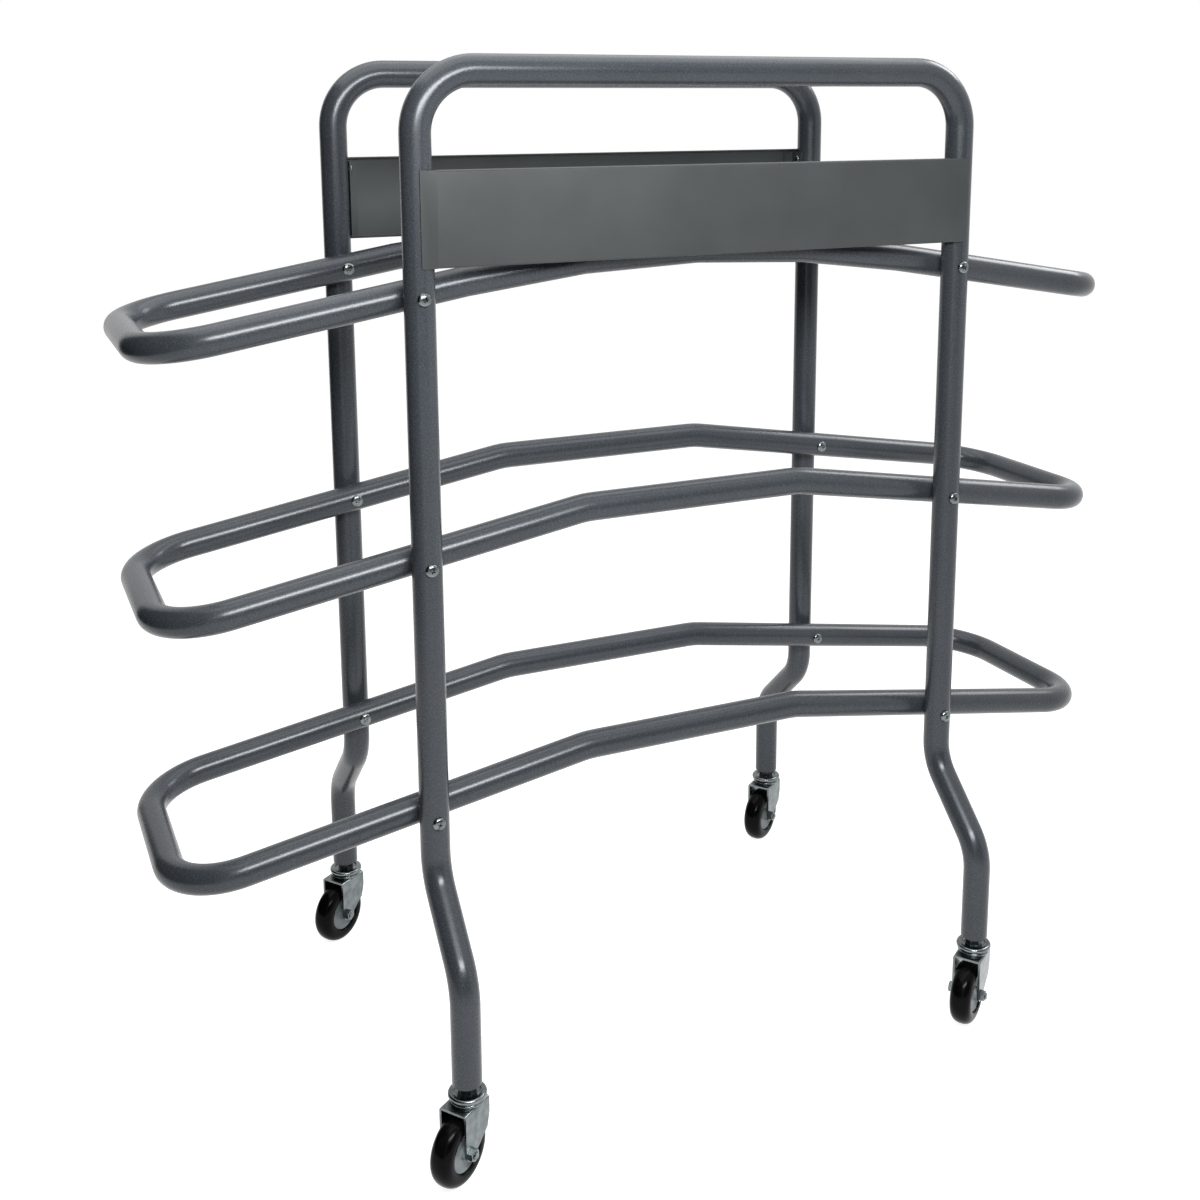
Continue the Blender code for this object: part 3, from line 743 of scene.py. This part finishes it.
# %% Set the four panel screws
SMALL_HEAD_R = 4.6 * MM
SMALL_CROWN = 3 * MM
SMALL_SHANK_R = 2.4 * MM
SMALL_END = -12 * MM
BELOW_TOP = 13 * MM
shank = [(SMALL_SHANK_R, SMALL_END), (0, SMALL_END)]
panel_screw = turn_shape(domed(SMALL_HEAD_R, SMALL_CROWN, SMALL_SHANK_R) + shank, sides=28)
panel_screw = recess(panel_screw, SMALL_CROWN, width=1.1 * MM, span=4.8 * MM, depth=1.7 * MM)
for corner, (side, outward) in CORNERS.items():
    at = Vector((side * (FLANGE_X - PANEL_T - GAP), MID_Y + outward * LEG_Y, panel_top - BELOW_TOP))
    place = Matrix.Translation(at) @ Matrix.Rotation(-side * math.pi / 2, 4, "Y")
    turned = place @ Matrix.Rotation(math.radians(25 + 30 * outward), 4, "Z")
    node = f"panel_screw_{corner}"
    make_piece(f"pan_head_{node}", copy_to(panel_screw, turned), zinc, "rack", node)
panel_screw.free()
print("panel screws set")

# %% [markdown]
# ## Caster forks
#
# A fork is one steel blank, stamped to its outline, folded to a channel and plated. It is made that way
# here too: a channel with rounded folds is kept only where it lies inside the outline, seen from the
# side. The lower race of the swivel is pressed up out of the top plate, so it is joined to it, and the
# stem's and axle's holes are cut. Along X the fork trails behind its swivel, and the floor is at z = 0.

# %% Fold a fork
swivel = Vector(joints["front_left_swivel"]["pos_m"])
axle = Vector(joints["front_left_axle"]["pos_m"])
TRAIL = (axle - swivel).to_2d().length
WHEEL_R = axle.z
FORK_HALF = 17 * MM
FORK_TOP = 85 * MM
FORK_T = 2.5 * MM
FORK_FOLD_R = 2.7 * MM
STEM_HOLE_R = 5.5 * MM
AXLE_HOLE_R = 4.4 * MM


def rod(radius, reach, sides=48):
    """A cylinder about Z that reaches as far up as down."""
    return turn_shape([(0, -reach), (radius, -reach), (radius, reach), (0, reach)], sides)


channel = bmesh.new()
middle = Matrix.Translation((6 * MM, 0, FORK_TOP)) @ Matrix.Diagonal((24 * MM, FORK_HALF, 1, 1))
bmesh.ops.create_grid(channel, x_segments=1, y_segments=1, size=1, matrix=middle)
folds = edges_at(channel, 1, -FORK_HALF) + edges_at(channel, 1, FORK_HALF)
push(channel, folds, Vector((0, 0, -60 * MM)))
bmesh.ops.bevel(
    channel,
    geom=folds,
    offset=FORK_FOLD_R,
    segments=7,
    profile=0.5,
    affect="EDGES",
    material=-1,
)
bmesh.ops.recalc_face_normals(channel, faces=channel.faces)
bmesh.ops.solidify(channel, geom=channel.faces, thickness=FORK_T)
bmesh.ops.recalc_face_normals(channel, faces=channel.faces)
print("channel:", len(channel.faces), "faces")

# %% Stamp the fork's outline and drill it
EYE_R = 8
# In millimetres, seen from the side: down the rear edge, round the axle's eye and up the front edge.
outline = [(26.5, 85)]
for k in range(21):
    angle = math.radians(-140.4 * k / 20)
    outline.append((18.5 + EYE_R * math.cos(angle), 38.1 + EYE_R * math.sin(angle)))
outline += [(-10.8, 51), (-15, 66.3), (-15, 85)]
blank = bmesh.new()
face = blank.faces.new([blank.verts.new((x * MM, -20 * MM, z * MM)) for x, z in outline])
grown = bmesh.ops.extrude_face_region(blank, geom=[face])["geom"]
verts = [item for item in grown if isinstance(item, bmesh.types.BMVert)]
bmesh.ops.translate(blank, verts=verts, vec=(0, 40 * MM, 0))
bmesh.ops.recalc_face_normals(blank, faces=blank.faces)
fork = combine(channel, blank, "INTERSECT")
race = [(0, 84), (17.4, 84), (18.4, 84.5), (18.9, 85.3), (19, 86.1), (18.8, 87.1), (18.3, 87.8), (17.5, 88.2)]
race += [(0, 88.2)]
race = turn_shape([(radius * MM, height * MM) for radius, height in race], 72)
fork = combine(fork, race, "UNION")
stem_hole = copy_to(rod(STEM_HOLE_R, 20 * MM), Matrix.Translation((0, 0, FORK_TOP)))
fork = combine(fork, stem_hole, "DIFFERENCE")
across = Matrix.Translation((TRAIL, 0, WHEEL_R)) @ Matrix.Rotation(math.pi / 2, 4, "X")
axle_hole = copy_to(rod(AXLE_HOLE_R, 30 * MM), across)
fork = combine(fork, axle_hole, "DIFFERENCE")
print("fork:", len(fork.faces), "faces, trail", round(TRAIL / MM, 2), "mm")

# %% [markdown]
# ## Stems, caps and lock nuts
#
# The threaded stem carries the upper race under a pressed cap, which has round shoulders and a recess in
# its top. A hexagon lock nut stands in the recess and holds all of it against the leg's end. Below the
# fork's plate the stem is riveted over. Nut and bolt heads have chamfered corners: a hexagon is kept only
# inside a turned lens, which leaves the curved edges that every real nut has.

# %% Cut a hexagon
# The flat end's radius as a share of the width across flats, and the chamfer's slope, 30 degrees.
FLAT_SHARE = 0.475
CHAMFER = 0.58


def hexagon(across_flats, low, high, ends):
    """A hexagon about Z with its corners chamfered at the chosen ends: 'low', 'high' or both."""
    corner = across_flats / math.sqrt(3)
    block = bmesh.new()
    bmesh.ops.create_cone(
        block,
        cap_ends=True,
        segments=6,
        radius1=corner,
        radius2=corner,
        depth=high - low,
        matrix=Matrix.Translation((0, 0, (low + high) / 2)),
    )
    flat = across_flats * FLAT_SHARE
    drop = (corner - flat) * CHAMFER
    foot = [(flat, low), (corner, low + drop)] if "low" in ends else [(corner * 1.1, low - drop)]
    head = [(corner, high - drop), (flat, high)] if "high" in ends else [(corner * 1.1, high + drop)]
    lens = turn_shape([(0, foot[0][1])] + foot + head + [(0, head[-1][1])], 72)
    return combine(block, lens, "INTERSECT")


# %% Turn a stem with its cap
NUT_WIDTH = 17 * MM
NUT_LOW = 90.5 * MM
NUT_HIGH = 103.7 * MM
NUT_REACH = 10 * MM
CAP_FLOOR = 92.6 * MM
# The outline from the bottom up, in millimetres.
rivet = [(0, 80), (4.4, 80.1), (6.5, 80.7), (7.4, 81.6), (7.5, 82.2), (5, 82.2)]
cap = [(5, 88.5), (16.8, 88.5), (18.5, 88.8), (19.8, 89.5), (20.5, 90.5), (20.6, 91.5), (20.6, 92.5)]
cap += [(20.4, 93.3), (19.8, 94.1), (18.9, 94.7), (17.8, 94.9), (15.1, 94.9), (14.4, 94.7), (14.05, 94.2)]
cap += [(14, 93.4), (13.8, 92.8), (13.2, 92.5), (5, 92.5)]
thread = [(5, 137.2), (4.2, 138), (0, 138)]
stem = turn_shape([(radius * MM, height * MM) for radius, height in rivet + cap + thread], 72)
stem = combine(stem, hexagon(NUT_WIDTH, NUT_LOW, NUT_HIGH, "high"), "UNION")
print("stem with its cap and lock nut:", len(stem.faces), "faces")

# %% [markdown]
# ## Wheels
#
# The tyre's cross section is a rounded box: almost flat on its sides, full at the shoulders and crowned
# at the tread. A superellipse with exponent 2.3 gives exactly that. The hub is a moulded disc, recessed
# between a raised rim and the boss that carries the axle. The axle bolt's head is at one end and its nut
# at the other.

# %% Turn the tyre
TYRE_WIDEST_R = 26.7 * MM
TYRE_CROWN = 11.35 * MM
TYRE_HALF = 12.9 * MM
SQUARENESS = 2.3
TYRE_SEAT_R = 21.8 * MM
TYRE_SEAT_HALF = 10.8 * MM
SEAT_EDGE_R = 22.6 * MM


def squared(value):
    """A sine or cosine pushed out towards a square's side."""
    return math.copysign(abs(value) ** (2 / SQUARENESS), value)


section = []
for k in range(-18, 19):
    angle = math.radians(6.2 * k)
    radius = TYRE_WIDEST_R + TYRE_CROWN * squared(math.cos(angle))
    if radius > SEAT_EDGE_R:
        section.append((radius, TYRE_HALF * squared(math.sin(angle))))
section += [(TYRE_SEAT_R, TYRE_SEAT_HALF), (TYRE_SEAT_R, -TYRE_SEAT_HALF)]
tyre = turn_shape(section, 128, closed=True)
print("tyre", len(tyre.faces), "faces")

# %% Turn the hub
# Its upper half, in millimetres.
half_hub = [(4.5, 14), (7.3, 14), (8, 13.4), (8.3, 9.8), (9, 9.1), (18.6, 8.9), (19.5, 9.3), (20, 10.1)]
half_hub += [(20.5, 10.36), (21.2, 10.36), (21.5, 10)]
half_hub = [(radius * MM, height * MM) for radius, height in half_hub]
hub = turn_shape(half_hub + [(radius, -height) for radius, height in reversed(half_hub)], 96, closed=True)
print("hub", len(hub.faces), "faces")

# %% Turn the axle bolt
BOLT_R = 4 * MM
BOLT_NUT_WIDTH = 12 * MM
BOLT_SEAT = 17.3 * MM
BOLT_NUT_OUT = 22.3 * MM
shank = [(0, -24.3 * MM), (3.3 * MM, -24.3 * MM), (BOLT_R, -23.6 * MM), (BOLT_R, 21.3 * MM), (0, 21.3 * MM)]
bolt = turn_shape(shank, 48)
bolt = combine(bolt, hexagon(BOLT_NUT_WIDTH, BOLT_SEAT, BOLT_NUT_OUT, "high"), "UNION")
bolt = combine(bolt, hexagon(BOLT_NUT_WIDTH, -BOLT_NUT_OUT, -BOLT_SEAT, "low"), "UNION")
print("axle bolt", len(bolt.faces), "faces")

# %% Stand the casters under the legs
for corner in CORNERS:
    swivel = Vector(joints[f"{corner}_swivel"]["pos_m"])
    axle = Vector(joints[f"{corner}_axle"]["pos_m"])
    heading = math.atan2(axle.y - swivel.y, axle.x - swivel.x)
    under = Matrix.Translation((swivel.x, swivel.y, 0))
    trailing = under @ Matrix.Rotation(heading, 4, "Z")
    spindle = trailing @ Matrix.Translation((TRAIL, 0, WHEEL_R)) @ Matrix.Rotation(math.pi / 2, 4, "X")
    for name, shape, place, finish, body, slot, node in (
        ("cap_and_stem", stem, under, zinc, "rack", "zinc", "caster_stem"),
        ("folded_fork", fork, trailing, zinc, f"{corner}_fork", "zinc", "caster_fork"),
        ("hexagon_axle_bolt", bolt, spindle, zinc, f"{corner}_fork", "zinc", "axle_bolt"),
        ("moulded_hub", hub, spindle, hub_grey, f"{corner}_wheel", "hub", "wheel_hub"),
        ("cast_tyre", tyre, spindle, tread, f"{corner}_wheel", "tread", "wheel_tyre"),
    ):
        make_piece(f"{corner}_{name}", copy_to(shape, place), finish, body, f"{corner}_{node}")
    # The lock nut's faces take a second finish, a near-black painted shade for the gap under the leg's end.
    capped = bpy.data.objects[f"{corner}_cap_and_stem"].data
    capped.materials.append(nut_painted_shade)
    for face in capped.polygons:
        reach = (face.center - swivel).to_2d().length
        if face.center.z > CAP_FLOOR and reach < NUT_REACH:
            face.material_index = 1
for shape in (stem, fork, bolt, hub, tyre):
    shape.free()
print("casters set, heading", round(math.degrees(heading), 1), "degrees")

# %% [markdown]
# ## What the CAD model keeps
#
# The nylon plugs inside the legs' ends hardly show, and the CAD's own shapes are all they need. They only
# get their finish.

# %% Finish the plugs
for corner in CORNERS:
    plug = bpy.data.objects[f"{corner}_tube_plug"]
    plug.data.materials.clear()
    plug.data.materials.append(nylon)
print("plugs finished in", nylon.name)

# %% [markdown]
# ## The studio
#
# The rack stands on a wide pale floor in a white studio. The camera, and anything that mirrors the room,
# sees pure white. What lights the rack softly from all round is a dimmer white. The floor is lifted to
# white for the camera too, but only by as much as it lacks, so the rack's soft shadow stays on it.

# %% Tell the rays that show the room
def seen_rays(tree):
    """1 for a camera ray, straight, mirrored or through glass, and 0 for light that falls on the rack."""
    rays = add_node(tree, "ShaderNodeLightPath").outputs
    plain = {0: rays["Is Camera Ray"], 1: rays["Is Glossy Ray"]}
    plain = add_node(tree, "ShaderNodeMath", plain, operation="MAXIMUM").outputs["Value"]
    every = {0: plain, 1: rays["Is Transmission Ray"]}
    return add_node(tree, "ShaderNodeMath", every, operation="MAXIMUM").outputs["Value"]


# %% Lay the floor
PAPER_GREY = 0.5
FLOOR_LIFT = 0.91
sweep = bmesh.new()
bmesh.ops.create_grid(sweep, x_segments=1, y_segments=1, size=12)
mesh = bpy.data.meshes.new("studio_floor")
sweep.to_mesh(mesh)
sweep.free()
floor = bpy.data.objects.new("studio_floor", mesh)
bpy.context.scene.collection.objects.link(floor)
floor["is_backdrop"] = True
paper = bpy.data.materials.new("white_paper_floor")
paper.use_nodes = True
tree = paper.node_tree
shader = tree.nodes["Principled BSDF"]
shader.inputs["Base Color"].default_value = (PAPER_GREY, PAPER_GREY, PAPER_GREY, 1)
shader.inputs["Roughness"].default_value = 0.9
shader.inputs["Specular IOR Level"].default_value = 0.0
shader.inputs["Emission Color"].default_value = (1, 1, 1, 1)
lift = add_node(tree, "ShaderNodeMath", {0: seen_rays(tree), 1: FLOOR_LIFT}, operation="MULTIPLY")
tree.links.new(lift.outputs["Value"], shader.inputs["Emission Strength"])
mesh.materials.append(paper)
print("floor", round(floor.dimensions.x, 1), "m wide")

# %% Light the studio
ROOM_LIGHT = 0.26
ROOM_WHITE = 1.0
world = bpy.data.worlds.new("studio_air")
bpy.context.scene.world = world
world.use_nodes = True
tree = world.node_tree
air = tree.nodes["Background"]
strength = add_node(
    tree,
    "ShaderNodeMapRange",
    {"Value": seen_rays(tree), "To Min": ROOM_LIGHT, "To Max": ROOM_WHITE},
)
tree.links.new(strength.outputs["Result"], air.inputs["Strength"])
air.inputs["Color"].default_value = (1, 1, 1, 1)


def softbox(name, position, target, width, height, power):
    """A rectangular area light of so many watts that looks at a target. The camera doesn't see it."""
    lamp = bpy.data.lights.new(name, "AREA")
    lamp.shape = "RECTANGLE"
    lamp.size = width
    lamp.size_y = height
    lamp.energy = power
    holder = bpy.data.objects.new(name, lamp)
    away = Vector(position) - Vector(target)
    holder.location = position
    holder.rotation_euler = away.to_track_quat("Z", "Y").to_euler()
    holder.visible_camera = False
    bpy.context.scene.collection.objects.link(holder)


softbox("strip_by_the_camera", (-0.32, -1.3, 1.38), (-0.25, 0, 0.6), width=0.9, height=0.32, power=28)
softbox("high_right_softbox", (2.3, 0.3, 2.5), (0, 0, 0.6), width=1.1, height=1.1, power=33)
softbox("overhead_softbox", (0, 0.1, 1.95), (0, 0.1, 0.6), width=1.9, height=1.3, power=14)

# %% [markdown]
# ### Black flags
#
# Two black cloth flags take light away where the photo's studio had none: one along the rack's left side
# and one behind the camera. They darken the tubes' left edges and give the plated metal something dark to
# mirror.

# %% Hang the flags
cloth, _, shader, _ = new_finish("black_flag_cloth")
shader.inputs["Base Color"].default_value = linear("#121213")
shader.inputs["Roughness"].default_value = 1.0
shader.inputs["Specular IOR Level"].default_value = 0.0
for name, centre, half_width, half_height, turn in (
    ("left_flag", (-1.6, 0.1, 1.4), 2.2, 1.3, 90),
    ("flag_behind_camera", (0.2, -3.0, 1.6), 1.8, 1.3, 0),
):
    upright = Matrix.Rotation(math.radians(turn), 4, "Z") @ Matrix.Rotation(math.pi / 2, 4, "X")
    size = Matrix.Diagonal((half_width, half_height, 1, 1))
    sheet = bmesh.new()
    place = Matrix.Translation(centre) @ upright @ size
    bmesh.ops.create_grid(sheet, x_segments=1, y_segments=1, size=1, matrix=place)
    mesh = bpy.data.meshes.new(name)
    sheet.to_mesh(mesh)
    sheet.free()
    mesh.materials.append(cloth)
    flag = bpy.data.objects.new(name, mesh)
    flag.visible_camera = False
    bpy.context.scene.collection.objects.link(flag)
    flag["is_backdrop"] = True
print("flags hung in", cloth.name)

# %% [markdown]
# ## The camera
#
# The photo's camera was found by fitting the rails' and legs' vanishing points: a normal lens about 1.1 m
# above the floor and 0.75 m to the left of the rack's middle, tipped down by eleven degrees. The photo is
# a square cut from a wider frame, so a lens shift puts the rack where it is in the square.

# %% Set the camera
CAMERA_AT = Vector((-0.75085, MID_Y - 1.58607, 1.11164))
HEADING = -25.11
TIP = 10.77
ROLL = -0.08
LENS = 44.68
SHIFT_X = -0.0323
SHIFT_Y = -0.1838
camera = bpy.data.objects.new("studio_camera", bpy.data.cameras.new("studio_camera"))
bpy.context.scene.collection.objects.link(camera)
turn = (
    Matrix.Rotation(math.radians(HEADING), 4, "Z")
    @ Matrix.Rotation(math.radians(90 - TIP), 4, "X")
    @ Matrix.Rotation(math.radians(ROLL), 4, "Z")
)
camera.matrix_world = Matrix.Translation(CAMERA_AT) @ turn
camera.data.sensor_width = 36
camera.data.lens = LENS
camera.data.shift_x = SHIFT_X
camera.data.shift_y = SHIFT_Y
bpy.context.scene.camera = camera
bpy.context.scene.view_settings.view_transform = "Standard"
print("camera at", [round(value, 3) for value in camera.location], "lens", camera.data.lens)

# %% [markdown]
#
# The dressed rack must be as large as the CAD model and no larger. Both boxes are written down and
# compared.

# %% Compare the sizes and finish
bpy.context.view_layer.update()
dressed_box = [[float(value) for value in corner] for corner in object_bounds()]
growth = [round((b - a) / MM, 2) for low, high in zip(cad_box, dressed_box) for a, b in zip(low, high)]
print("dressed box against the CAD box, mm:", growth)
